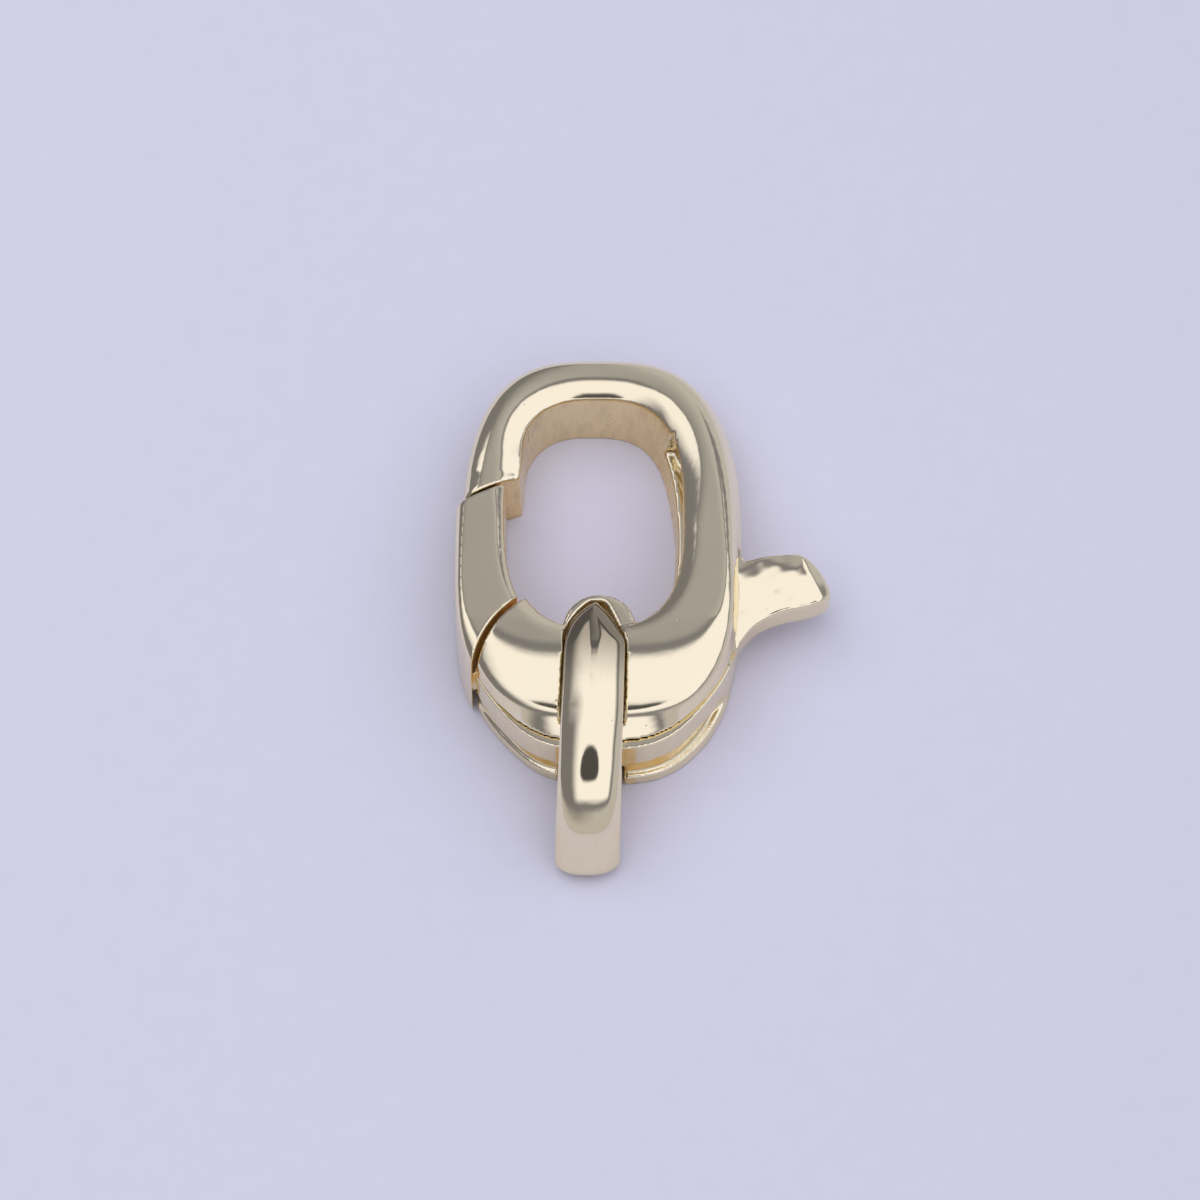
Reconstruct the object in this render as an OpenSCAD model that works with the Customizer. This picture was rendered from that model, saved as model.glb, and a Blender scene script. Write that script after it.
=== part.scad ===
// An oval lobster clasp, lying on its flat back with the hook away from the viewer.
// The origin is on the resting plane, in the middle of the hook's opening.
// The outlines are worked out from the lever's pivot, which lies below the opening.

/* [Body] */
// Width of the front face, crease to crease
body_w = 11.26; // [10.6:0.02:12]
// How far the body's middle lies to the right of the pivot
body_aside = 0.08; // [0:0.01:0.2]
// From the pivot up to the crease at the hook's top
body_top = 16.1; // [15.6:0.1:17]
// From the pivot down to the crease at the base
body_bottom = 1.1; // [1:0.05:1.4]
// From the pivot up to the widest line of the body
body_waist = 6; // [5:0.1:7]
// Thickness of the base
base_t = 4.6; // [4.5:0.05:5.2]
// Thickness of the hook at its top
hook_t = 3.1; // [2.8:0.05:4]
// How squarely the body's outline turns its corners
body_power = 3; // [2.6:0.1:3.4]
// How far the outer wall spreads towards the back
wall_flare = 0.34; // [0.1:0.02:0.5]
// How far the outer wall spreads below the base
base_flare = 1.1; // [0.6:0.05:1.2]
// How far the inner wall spreads towards the back
inner_flare = 0.3; // [0.1:0.02:0.4]
// How far the back plate stands out below the base
plate_drop = 0.12; // [0:0.02:0.3]
// Depth of the recess between the back plate's rim and the lever
recess = 0.3; // [0:0.02:0.34]
// How far the back plate stands out to the right
plate_aside = 0.26; // [0:0.02:0.4]
// Thickness of the back plate's rim at its edge
rim_t = 0.3; // [0.2:0.05:0.6]
// How far the front face falls away at its edges, at the hook's top
face_dome = 0.27; // [0.1:0.01:0.34]
// Width of the soft shoulder along each edge of the face, at the hook's top
shoulder_w = 0.82; // [0.5:0.02:0.9]

/* [Opening] */
// Width of the hook's opening at the front
opening_w = 7.2; // [6.4:0.1:7.4]
// From the pivot up to the middle of the opening
pivot_to_opening = 8.4; // [8.2:0.1:8.6]
// Half of the opening's height, upwards
opening_up = 5.75; // [5.4:0.05:5.9]
// Half of the opening's height, downwards
opening_down = 5.7; // [5.4:0.05:5.8]
// How squarely the opening turns its corners
opening_power = 2.8; // [2.4:0.1:3.2]
// How much thicker the hook grows just before its tip
tip_swell = 0.34; // [0:0.02:0.5]

/* [Lever] */
// Height of the floor that the lever lies on
back_plate_t = 1.5; // [1.45:0.05:1.6]
// Thickness of the lever between the plates
lever_t = 1.5; // [1.3:0.02:1.6]
// Gap between the lever and each plate
lever_gap = 0.12; // [0.08:0.01:0.2]
// From the pivot to the end of the hook's tip
hook_end_r = 10.65; // [10.5:0.05:10.8]
// From the pivot to the round shoulder that the gate starts from
shoulder_r = 5.05; // [4.95:0.05:5.15]
// Gap at both ends of the gate
gate_gap = 0.2; // [0.1:0.05:0.3]
// How far the gate stands out beyond the body
gate_out = 0.28; // [0:0.02:0.3]
// Width of the gate's face
gate_w = 1.98; // [1.8:0.02:2.1]
// How far the thumb tab reaches beyond the body's front edge
tab_reach = 3.86; // [3:0.02:4.4]
// From the pivot up to the tab's upper edge
tab_top = 6.75; // [6.2:0.05:7]
// Width of the tab near its end
tab_w = 2.3; // [1.8:0.1:2.6]
// How far the lever turns to open, in degrees
lever_open = 18; // [10:1:20]
// Diameter of the pivot pin
pin_d = 1; // [0.8:0.05:1.2]
// Gap round the pivot pin
pin_gap = 0.02; // [0.02:0.01:0.05]

/* [Bail] */
// Width of the bail
bail_w = 2.66; // [2.4:0.02:2.7]
// How much narrower the bail is at its inner end, as a share of its width
bail_taper = 0.1; // [0:0.01:0.14]
// Height of the bail from the surface that it rests on
bail_h = 5.7; // [5.6:0.02:5.9]
// Thickness of the bail's metal
bail_t = 1.2; // [1.1:0.02:1.25]
// From the pivot down to the bail's end
bail_reach = 6.75; // [6.5:0.05:7.5]
// From the pivot up to the bail's inner end
bail_top = 3.74; // [3.66:0.02:3.8]
// Thickness of the bail where it lies under the body
bail_back_t = 0.7; // [0.6:0.02:0.75]
// How far the bail's outer face is domed
bail_dome = 0.54; // [0.2:0.02:0.6]
// Gap between the bail's sides and the body
bail_gap = 0.2; // [0.15:0.01:0.25]
// Gap over and under the bar that the bail swings on
bail_play = 0.36; // [0.34:0.01:0.4]
// How far the bail leans to the left at its end
bail_lean = 0.42; // [0:0.02:0.6]
// Wall of the arch that closes the bail's hole
arch_wall = 0.3; // [0.25:0.01:0.5]

/* [Hidden] */
gold = [0.82, 0.77, 0.62];
stations = 72;
big = 40;
half_w = body_w / 2;
right_edge = half_w + body_aside;
lever_z = back_plate_t + lever_gap;
slot_top = lever_z + lever_t + lever_gap;
// The front face is level over the base and falls towards the hook's top
level_end = 0.5;
fall_start = pivot_to_opening - opening_down + level_end;
// The slot ends above the tab, and the body is whole above that
tab_room = 0.3;
slot_end = tab_top + tab_room;
// The back plate's rim starts below the gate, and slopes out from under the lever
rim_top = 1.7;
rim_slope_t = 1.45;
// The recess between the rim and the lever starts at this height
recess_low = 0.6;
recess_lean = 0.8;
// Where the outer wall meets its crease, as a share of the thickness there
flare_share = 0.66;
// The bar that the bail swings on reaches from one of these heights to the other
bar_low = bail_back_t + bail_play;
bar_high = bail_h - bail_t - bail_play;
// The front of the bar slopes down to the base, as the bail over it does, in degrees
bar_slope = 6.5;
// The pin ends a little under the bar's sloping front
pin_top = bar_high - (bail_top + pin_d) * tan(bar_slope);

function sgn(v) = v < 0 ? -1 : 1;
function soft(v, power) = sgn(v) * pow(abs(v), 2 / power);
function level(y) = base_t - (base_t - hook_t) * min(1, max(0, (y - fall_start) / (body_top - fall_start)));

// A point of an outline: an oval with square shoulders, and its own height up and down
function oval(a, x, w, mid, up, down, power) =
    [x + w * soft(cos(a), power), mid + (sin(a) < 0 ? down : up) * soft(sin(a), power)];
function outer(a, out) =
    oval(a, body_aside, half_w + out, body_waist, body_top - body_waist + out, body_bottom + body_waist + out,
        body_power);
// The hook swells inwards just before its tip, which is on the left
tip_height = hook_end_r - 0.1;
tip_spread = 1.5;
function swell(p) = p[0] < 0 ? tip_swell * exp(-pow((p[1] - tip_height) / tip_spread, 2)) : 0;
function inner(a, into) =
    let (p = oval(a, 0, opening_w / 2 - into, pivot_to_opening, opening_up - into, opening_down - into,
        opening_power))
    [p[0] + swell(p), p[1]];
// The gate's inner edge follows a taller oval than the opening's
gate_room = 0.4;
function gate_outer(a) =
    oval(a, body_aside, half_w + gate_out, body_waist, body_top - body_waist, body_bottom + body_waist,
        body_power);
function gate_inner(a) =
    oval(a, body_aside, half_w + gate_out - gate_w, pivot_to_opening, opening_up + gate_room,
        opening_down + gate_room,
        opening_power);

// The shoulders at the sides, at the top and at the base: width and fall at the outer edge,
// width and fall at the inner edge, as shares of shoulder_w and face_dome
side_row = [0.9, 0.8, 1.3, 0.9];
top_row = [1, 1, 1.5, 1.45];
base_row = [3.9, 3.1, 0.6, 0.6];
up_power = 0.6;
down_power = 1.5;
function shoulders(a) =
    let (up = pow(max(0, sin(a)), up_power), low = pow(max(0, -sin(a)), down_power))
    side_row * (1 - up - low) + top_row * up + base_row * low;
// The outer wall spreads more on the right than on the left, and most below the base
flare_mean = 0.68;
flare_lean = 0.32;
flare_power = 8;
function down(a) = max(0, -sin(a));
function flare(a) = base_flare * pow(down(a), flare_power)
    + wall_flare * (flare_mean + flare_lean * cos(a)) * (1 - pow(down(a), down_power));
// The inner wall spreads most at the lower right
inner_lean = 0.22;
inner_corner = 0.24;
function spread(a) = inner_flare + inner_lean * cos(a)
    + inner_corner * (cos(a) > 0 ? max(0, -sin(2 * a)) : 0);
function fall(edge, width, depth) = depth * pow(1 - min(1, edge / width), 2);
// Height of the domed face at a distance from its outer and its inner edge
function dome(y, s, edge_out, edge_in) =
    level(y) - fall(edge_out, s[0] * shoulder_w, s[1] * face_dome)
        - fall(edge_in, s[2] * shoulder_w, s[3] * face_dome);

// Shares of the face's width at which its section has points
face_shares = [0, 0.06, 0.14, 0.24, 0.36, 0.48, 0.62, 0.76, 0.87, 0.95, 1];
// One section of the body, from the outer foot over the face to the inner foot, its shoulders
// as wide as the share says
function section(a, p, q, share) =
    let (d = (q - p) / norm(q - p), l = norm(q - p), h = level(p[1]), s = shoulders(a) * share,
        out = flare(a))
    concat(
        [[p[0] - d[0] * out, p[1] - d[1] * out, 0]],
        [[p[0] - d[0] * out, p[1] - d[1] * out, flare_share * h]],
        [for (u = face_shares)
            [p[0] + d[0] * u * l, p[1] + d[1] * u * l, dome(p[1] + d[1] * u * l, s, u * l, l - u * l)]],
        [[q[0] + d[0] * spread(a), q[1] + d[1] * spread(a), 0]]
    );
section_n = len(face_shares) + 3;

// A closed ring of sections, each joined to the next
module ring(points, count) {
    total = len(points);
    rows = total / count;
    polyhedron(
        points = points,
        faces = [for (i = [0:rows - 1]) for (j = [0:count - 1])
            let (k = (i + 1) % rows, m = (j + 1) % count)
            each [
                [i * count + j, k * count + j, i * count + m],
                [k * count + j, k * count + m, i * count + m]
            ]],
        convexity = 6
    );
}
module from_pivot() {
    translate([0, -pivot_to_opening, 0]) children();
}
module body_ring() {
    ring([for (i = [0:stations - 1])
        let (a = -360 * i / stations)
        each section(a, outer(a, 0), inner(a, 0), 1)], section_n);
}
// The body's plan without its opening, as wide as its foot
module body_plan() {
    polygon([for (i = [0:stations - 1])
        let (a = 360 * i / stations)
        outer(a, flare(a))]);
}
// The back plate's rim: it grows out of the wall at rim_top, and stands out by a share below it
rim_from = 0.46;
rim_to = 0.8;
recess_to = 0.66;
function grown(a, to) = min(1, max(0, (down(a) - rim_from) / (to - rim_from)));
function rim_at(a, share) = outer(a, flare(a)) + share * grown(a, rim_to) * [plate_aside, -plate_drop];
module rim_plan(share) {
    intersection() {
        polygon([for (i = [0:stations - 1]) rim_at(360 * i / stations, share)]);
        translate([-big / 2, -big]) square([big, big + rim_top]);
    }
}
// What the recess leaves of the back plate: it is deepest on the right
module recess_plan() {
    polygon([for (i = [0:stations - 1])
        let (a = 360 * i / stations, k = recess * grown(a, recess_to) * (1 + recess_lean * cos(a)))
        rim_at(a, 1) - k * [cos(a), sin(a)]]);
}
gate_share = 0.6;
module gate_ring() {
    ring([for (i = [0:stations - 1])
        let (a = -360 * i / stations)
        each section(a, gate_outer(a), gate_inner(a), gate_share)], section_n);
}

// The bail seen from the front: its straight sides, and the end that narrows into its hole
lean_rate = bail_lean / (bail_reach + bail_top);
function bail_mid(y) = -lean_rate * (bail_top - y);
// How much of its half width the bail keeps at shares of the height of its narrow end
narrow_len = 2;
left_shares = [[0, 1], [0.45, 0.86], [0.75, 0.58], [0.92, 0.34], [1, 0.14]];
right_shares = [[0, 1], [0.45, 0.62], [0.75, 0.38], [0.92, 0.24], [1, 0.14]];
function share_at(y, table) = lookup((y - bail_top + narrow_len) / narrow_len, table);
function bail_half(y) = bail_w / 2 * (1 - bail_taper * (y + bail_reach) / (bail_top + bail_reach));
function bail_left(y) = bail_mid(y) - bail_half(y) * share_at(y, left_shares);
function bail_right(y) = bail_mid(y) + bail_half(y) * share_at(y, right_shares);

// The bail's outer face seen from its side: its place as a share of the bail's length from the
// pivot, its height as a share of the bail's, and the metal there as a share of bail_t
back_share = bail_back_t / bail_t;
side_table = [
    [1, 0.3, 1], [1, 0.52, 1], [1, 0.76, 1], [0.95, 0.88, 1], [0.78, 0.97, 1], [0.42, 1, 1],
    [0, 0.974, 1], [-0.19, 0.942, 1], [-0.38, 0.892, 1], [-0.565, 0.802, 1], [-0.7, 0.7, 1],
    [-0.8, 0.585, 1], [-0.875, 0.46, 1], [-0.94, 0.3, 1], [-0.985, 0.15, 1], [-0.97, 0.06, 0.95],
    [-0.88, 0.004, 0.8], [-0.72, 0, back_share], [-0.2, 0, back_share], [0.3, 0, back_share],
    [0.74, 0.004, back_share],
    [0.92, 0.06, 0.8], [0.98, 0.15, 0.9]];
side_n = len(side_table);
side_steps = 3;
function side_row_at(i) =
    let (r = side_table[(i + side_n) % side_n])
    [r[0] * (r[0] > 0 ? bail_top : bail_reach), r[1] * bail_h, r[2] * bail_t];
// A smooth curve through the rows, and its outward direction
function smooth(p, q, r, s, t) =
    0.5 * ((2 * q) + (r - p) * t + (2 * p - 5 * q + 4 * r - s) * t * t + (3 * q - p - 3 * r + s) * t * t * t);
function slope(p, q, r, s, t) =
    0.5 * ((r - p) + (2 * p - 5 * q + 4 * r - s) * 2 * t + (3 * q - p - 3 * r + s) * 3 * t * t);
function bail_side() = [for (i = [0:side_n - 1]) for (j = [0:side_steps - 1])
    let (p = side_row_at(i - 1), q = side_row_at(i), r = side_row_at(i + 1), s = side_row_at(i + 2),
        t = j / side_steps, c = smooth(p, q, r, s, t), d = slope(p, q, r, s, t), l = norm([d[0], d[1]]))
    [c[0], c[1], d[1] / l, -d[0] / l, c[2]]];
// Shares across the bail's width, and how far the dome has fallen there
bail_rows = [[0, 1], [0.03, 0.62], [0.08, 0.4], [0.17, 0.2], [0.32, 0.04], [0.5, 0], [0.68, 0.04],
    [0.83, 0.2], [0.92, 0.4], [0.97, 0.62], [1, 1]];
// A point at a share of the bail's width there, and at a depth under its outer face
function bail_point(s, across, depth) =
    let (y = s[0] - s[2] * depth)
    [bail_left(y) + (bail_right(y) - bail_left(y)) * across, y, s[1] - s[3] * depth];
function bail_section(s) =
    let (t = s[4], fall = bail_dome * t / bail_t)
    concat(
        [bail_point(s, 0, t)],
        [for (b = bail_rows) bail_point(s, b[0], fall * b[1])],
        [bail_point(s, 1, t)]
    );
module bail_outline(gap) {
    steps = 10;
    start = bail_top - narrow_len;
    ys = [for (i = [0:steps]) start + narrow_len * i / steps];
    offset(r = gap, $fn = 24)
        polygon(concat(
            [[bail_left(-bail_reach), -bail_reach]],
            [for (y = ys) [bail_left(y), y]],
            [for (i = [0:steps]) [bail_right(ys[steps - i]), ys[steps - i]]],
            [[bail_right(-bail_reach), -bail_reach]]
        ));
}
// The channel's floor lies this far over the bar's lowest front, to leave metal over the pin
bar_rise = 0.06;
// The bail's hole starts this far above the pivot, and leaves a bar below it
hole_low = bail_top - bail_t - bail_gap;
arch_tight = 0.15;
arch_aside = 0.1;
arch_r = bail_w / 2 + arch_wall - arch_tight;
arch_y = bail_top + bail_gap + arch_wall - arch_r;

// The spring's pocket, from its corner inside the opening
pocket_plan = [[0, 0], [1.75, 0], [1.7, 3.25], [1.4, 4.95], [0.7, 6.35], [0, 6.35]];

module hook_body() {
    color(gold) from_pivot() difference() {
        union() {
            body_ring();
            // The rim of the back plate, which stands out round the base
            hull() {
                linear_extrude(rim_t) rim_plan(1);
                linear_extrude(rim_slope_t) rim_plan(0.1);
            }
            // The arch that closes the bail's hole towards the opening
            translate([arch_aside, arch_y, 0])
                cylinder(r = arch_r, h = base_t - face_dome, $fn = 48);
        }
        // The slot for the lever, open round the base
        translate([-big / 2, -big / 2, back_plate_t])
            cube([big, big / 2 + slot_end, slot_top - back_plate_t]);
        // The recess between the back plate's rim and the lever
        translate([0, 0, recess_low]) linear_extrude(back_plate_t - recess_low) difference() {
            translate([-big / 2, -big]) square([big, big + rim_top]);
            recess_plan();
        }
        // The pocket for the spring, in the inner wall on the right
        translate([opening_w / 2 - 1, slot_end - 1, back_plate_t])
            linear_extrude(slot_top - back_plate_t)
                polygon(pocket_plan);
        // The room for the gate, between the shoulder and the hook's tip
        translate([0, 0, -1]) linear_extrude(base_t + 2) intersection() {
            difference() {
                circle(r = hook_end_r, $fn = 180);
                circle(r = shoulder_r, $fn = 120);
            }
            translate([-big, 0]) square([big, big]);
        }
        // The hole that the bail goes through
        translate([0, 0, -1]) linear_extrude(base_t + 2) intersection() {
            bail_outline(bail_gap);
            translate([-big / 2, hole_low]) square(big);
        }
        // The channels that the bail lies in, at the front and at the back
        intersection() {
            translate([0, 0, bar_low]) linear_extrude(base_t) bail_outline(bail_gap);
            translate([0, bail_top, bar_high + bar_rise]) rotate([bar_slope, 0, 0])
                translate([-big / 2, -big / 2, 0]) cube([big, big, base_t]);
        }
        translate([0, 0, -1]) linear_extrude(1 + bar_low) bail_outline(bail_gap);
        translate([0, 0, -1]) cylinder(d = pin_d, h = base_t + 2, $fn = 48);
    }
}

// The thumb tab's outline: its place as shares of the tab's reach and of its width
tab_table = [[-0.2, 0.1], [0.08, 0.13], [0.31, 0.04], [0.5, 0], [0.68, 0], [0.8, 0.08], [0.9, 0.25],
    [0.985, 0.5], [1.015, 0.7], [0.95, 0.87], [0.78, 0.99], [0.5, 1.1], [0.24, 1.3], [0.05, 1.66],
    [-0.25, 2.4]];
// The hub keeps this far back from the opening and from the tab's upper edge
hub_room = 0.1;
// The gate ends this far above the surface that the clasp lies on
gate_foot = 0.1;
module lever_plan() {
    difference() {
        union() {
            intersection() {
                difference() {
                    body_plan();
                    polygon([for (i = [0:stations - 1]) inner(360 * i / stations, -hub_room)]);
                }
                union() {
                    circle(r = shoulder_r + gate_gap, $fn = 120);
                    translate([0, -big + tab_top - hub_room]) square([big, big]);
                }
            }
            polygon([for (t = tab_table) [right_edge + tab_reach * t[0], tab_top - tab_w * t[1]]]);
        }
        // The notch that keeps the hub clear of the bail while it turns
        for (a = [0:3:lever_open])
            rotate(a) intersection() {
                bail_outline(2 * bail_gap);
                translate([-big / 2, hole_low]) square(big);
            }
        circle(d = pin_d + 2 * pin_gap, $fn = 48);
    }
}
module lever() {
    color(gold) from_pivot() {
        translate([0, 0, lever_z]) linear_extrude(lever_t) lever_plan();
        intersection() {
            gate_ring();
            translate([0, 0, gate_foot]) linear_extrude(base_t) intersection() {
                difference() {
                    circle(r = hook_end_r - gate_gap, $fn = 180);
                    circle(r = shoulder_r + gate_gap, $fn = 120);
                }
                translate([-big, 0]) square([big, big]);
            }
        }
    }
}
module pivot_pin() {
    color(gold) from_pivot() translate([0, 0, bar_low])
        cylinder(d = pin_d - 0.01, h = pin_top - bar_low, $fn = 48);
}
module bail() {
    color(gold) from_pivot()
        ring([for (s = bail_side()) each bail_section(s)], len(bail_rows) + 2);
}

hook_body();
lever();
pivot_pin();
bail();
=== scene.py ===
# %% [markdown]
# A lobster clasp is three castings and a rivet: the hook body, the lever with its gate and thumb
# tab, and the bail that a chain hangs from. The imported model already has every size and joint,
# so this file only gives the castings their soft edges, their polish and their light. The rivet
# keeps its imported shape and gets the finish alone.

# %% Load the frame
import math
import bmesh
import bpy
from mathutils import Matrix, Vector


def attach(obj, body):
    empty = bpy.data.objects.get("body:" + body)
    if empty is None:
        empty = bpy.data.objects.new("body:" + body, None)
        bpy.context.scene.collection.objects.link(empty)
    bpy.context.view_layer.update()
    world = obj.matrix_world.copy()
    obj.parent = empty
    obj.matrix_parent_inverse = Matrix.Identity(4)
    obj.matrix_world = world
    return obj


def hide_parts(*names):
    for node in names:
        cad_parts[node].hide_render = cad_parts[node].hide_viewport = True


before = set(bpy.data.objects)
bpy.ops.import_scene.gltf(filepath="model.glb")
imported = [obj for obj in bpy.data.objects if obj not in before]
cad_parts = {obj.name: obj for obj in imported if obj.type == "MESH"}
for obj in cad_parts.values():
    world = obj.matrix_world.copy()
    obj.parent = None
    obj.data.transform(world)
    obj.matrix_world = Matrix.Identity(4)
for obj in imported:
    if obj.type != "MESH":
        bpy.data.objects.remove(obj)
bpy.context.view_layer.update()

MM = 0.001
print("CAD nodes:", sorted(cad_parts))

# %% [markdown]
# The outlines are worked out in millimetres from the lever's pivot, as the castings' maker would
# draw them, and moved to the frame's origin when a mesh is finished. The driving sizes are those
# of the solids. Each outline is an oval whose corners are fuller than an ellipse's, and the band
# of metal swells a little where the hook ends above the gate.

# %% Outlines of the body and the gate
SHIFT_Y = -8.4
HALF_W, ASIDE, TOP, BOTTOM, WAIST, POWER = 5.63, 0.08, 16.1, 1.1, 6.0, 3.0
OPEN_HALF, OPEN_MID, OPEN_UP, OPEN_DOWN, OPEN_POWER = 3.6, 8.4, 5.75, 5.7, 2.8
HOOK_END_R, SHOULDER_R, GATE_GAP = 10.65, 5.05, 0.2
GATE_OUT, GATE_W, GATE_ROOM = 0.28, 1.98, 0.4
SWELL, SWELL_UNDER, SWELL_LONG = 0.34, 0.1, 1.5
OUTLINE_N = 192


def clip(value):
    return min(1.0, max(0.0, value))


def spaced(count):
    return [i / count for i in range(count)]


def all_round(count):
    return [math.tau * t for t in spaced(count)]


def soft(v, power):
    return math.copysign(abs(v) ** (2.0 / power), v)


def oval(a, x, w, mid, up, down, power):
    s = math.sin(a)
    return Vector((x + w * soft(math.cos(a), power), mid + (down if s < 0 else up) * soft(s, power)))


def outer(a, out=0.0):
    return oval(a, ASIDE, HALF_W + out, WAIST, TOP - WAIST + out, BOTTOM + WAIST + out, POWER)


def inner(a, into=0.0):
    p = oval(a, 0, OPEN_HALF - into, OPEN_MID, OPEN_UP - into, OPEN_DOWN - into, OPEN_POWER)
    if p.x < 0:
        p.x += SWELL * math.exp(-((p.y - HOOK_END_R + SWELL_UNDER) / SWELL_LONG) ** 2)
    return p


def gate_outer(a):
    return oval(a, ASIDE, HALF_W + GATE_OUT, WAIST, TOP - WAIST, BOTTOM + WAIST, POWER)


def gate_inner(a):
    half = HALF_W + GATE_OUT - GATE_W
    return oval(a, ASIDE, half, OPEN_MID, OPEN_UP + GATE_ROOM, OPEN_DOWN + GATE_ROOM, OPEN_POWER)


print("body outline is", 2 * HALF_W, "by", round(TOP + BOTTOM, 2), "mm")

# %% [markdown]
# The metal is high at the base and gets lower towards the hook's top. Its upper face is domed
# between two rounded shoulders. The shoulders are wide on the two lobes at the base and narrower
# along the sides, so they are given for the side, the top and the base, and blended on the way
# round. The walls lean outwards a little towards the floor.

# %% Height, shoulders and lean of the walls
BASE_T, HOOK_T, FALL_AFTER = 4.6, 3.1, 0.5
FALL_START = OPEN_MID - OPEN_DOWN + FALL_AFTER
SHOULDER, DOME, EDGE_W, EDGE_FALL = 0.82, 0.27, 0.34, 0.12
# In each row: the outer shoulder's width and depth, then the inner shoulder's.
SIDE_ROW = (0.9, 0.8, 1.3, 0.9)
TOP_ROW = (1.0, 1.0, 1.5, 1.45)
BASE_ROW = (3.9, 2.5, 0.6, 0.6)
TOP_BLEND, BASE_BLEND = 0.6, 1.5
FLARE, FLARE_MID, FLARE_RIGHT = 0.34, 0.68, 0.32
BASE_FLARE, BASE_FLARE_POWER = 1.1, 8
INNER_FLARE, INNER_RIGHT, INNER_CORNER = 0.3, 0.22, 0.24


def level(y):
    return BASE_T - (BASE_T - HOOK_T) * clip((y - FALL_START) / (TOP - FALL_START))


def low_side(a):
    return max(0.0, -math.sin(a))


def shoulders(a):
    up = max(0.0, math.sin(a)) ** TOP_BLEND
    down = low_side(a) ** BASE_BLEND
    rows = zip(SIDE_ROW, TOP_ROW, BASE_ROW)
    return [side * (1 - up - down) + top * up + base * down for side, top, base in rows]


def flare(a):
    sides = FLARE * (FLARE_MID + FLARE_RIGHT * math.cos(a)) * (1 - low_side(a) ** BASE_BLEND)
    return sides + BASE_FLARE * low_side(a) ** BASE_FLARE_POWER


def spread(a):
    corner = max(0.0, -math.sin(2 * a)) if math.cos(a) > 0 else 0.0
    return INNER_FLARE + INNER_RIGHT * math.cos(a) + INNER_CORNER * corner


def fall(edge, width, depth):
    return depth * (1 - min(1.0, edge / width)) ** 2


print("metal is", level(0), "mm high at the base and", round(level(TOP), 2), "mm at the hook's top")

# %% [markdown]
# A band of metal that closes on itself starts as a flat grid. Each vertex of the grid is then
# laid on the band: one way round the outline, the other way round the section. The grid's
# edges meet, and their doubles are merged. A curve with a bevel could make a band too, but its
# section stays the same all the way, and this one changes.


# %% Lay a grid on a closed band
def new_object(name, bm):
    mesh = bpy.data.meshes.new(name)
    bm.to_mesh(mesh)
    bm.free()
    piece = bpy.data.objects.new(name, mesh)
    bpy.context.scene.collection.objects.link(piece)
    return piece


def band(name, around, across, point):
    bm = bmesh.new()
    bmesh.ops.create_grid(bm, x_segments=around, y_segments=across, size=1.0)
    for v in bm.verts:
        i = round((v.co.x + 1) / 2 * around) % around
        j = round((v.co.y + 1) / 2 * across) % across
        v.co = Vector(point(i / around, j))
    bmesh.ops.remove_doubles(bm, verts=bm.verts, dist=1e-6)
    bmesh.ops.recalc_face_normals(bm, faces=bm.faces)
    return new_object(name, bm)


print("band() lays a grid on any closed band of metal")

# %% [markdown]
# The section goes round the metal in four runs: up the outer wall past its hip, over the domed
# face, down the inner wall and back under. The face has the most rows, and they are closest at
# the shoulders, where the reflections bend.

# %% The section of the metal
AROUND, WALL_N, FACE_N, BACK_N = 288, 10, 44, 12
SECTION_N = WALL_N + FACE_N + WALL_N + BACK_N
HIP_Z, HIP_ROW = 0.66, 0.6


def section(a, p, q, share, j):
    d = (q - p).normalized()
    length = (q - p).length
    outer_w, outer_z, inner_w, inner_z = [share * value for value in shoulders(a)]
    out = flare(a)

    def face(u):
        at = p + d * (u * length)
        z = level(at.y) - fall(u * length, outer_w * SHOULDER, outer_z * DOME)
        z -= fall(u * length, EDGE_W, EDGE_FALL)
        z -= fall(length - u * length, inner_w * SHOULDER, inner_z * DOME)
        return Vector((at.x, at.y, z))

    foot = Vector((*(p - d * out), 0.0))
    hip = Vector((*(p - d * out), HIP_Z * level(p.y)))
    heel = Vector((*(q + d * spread(a)), 0.0))
    if j < WALL_N:
        u = j / WALL_N
        if u < HIP_ROW:
            return foot.lerp(hip, u / HIP_ROW)
        return hip.lerp(face(0), (u - HIP_ROW) / (1 - HIP_ROW))
    j -= WALL_N
    if j < FACE_N:
        return face(0.5 - 0.5 * math.cos(math.pi * j / FACE_N))
    j -= FACE_N
    if j < WALL_N:
        return face(1).lerp(heel, j / WALL_N)
    j -= WALL_N
    return heel.lerp(foot, j / BACK_N)


def metal_band(name, outside, inside, share):
    def point(u, j):
        a = math.tau * u
        return section(a, outside(a), inside(a), share, j)

    return band(name, AROUND, SECTION_N, point)


print("the metal's band has", AROUND * SECTION_N, "faces before it is cut")

# %% [markdown]
# The slot, the channel and the holes are cut with plain prisms. A prism starts as a circle of
# vertices that is laid on an outline, filled and extruded. Booleans on clean solids are exact,
# and the sharp edges that they leave are softened later, as tumbling softens a casting.

# %% Prisms and cuts
BIG, UNDER, OVER = 40.0, -1, 6
ROUND_N = 96


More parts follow.
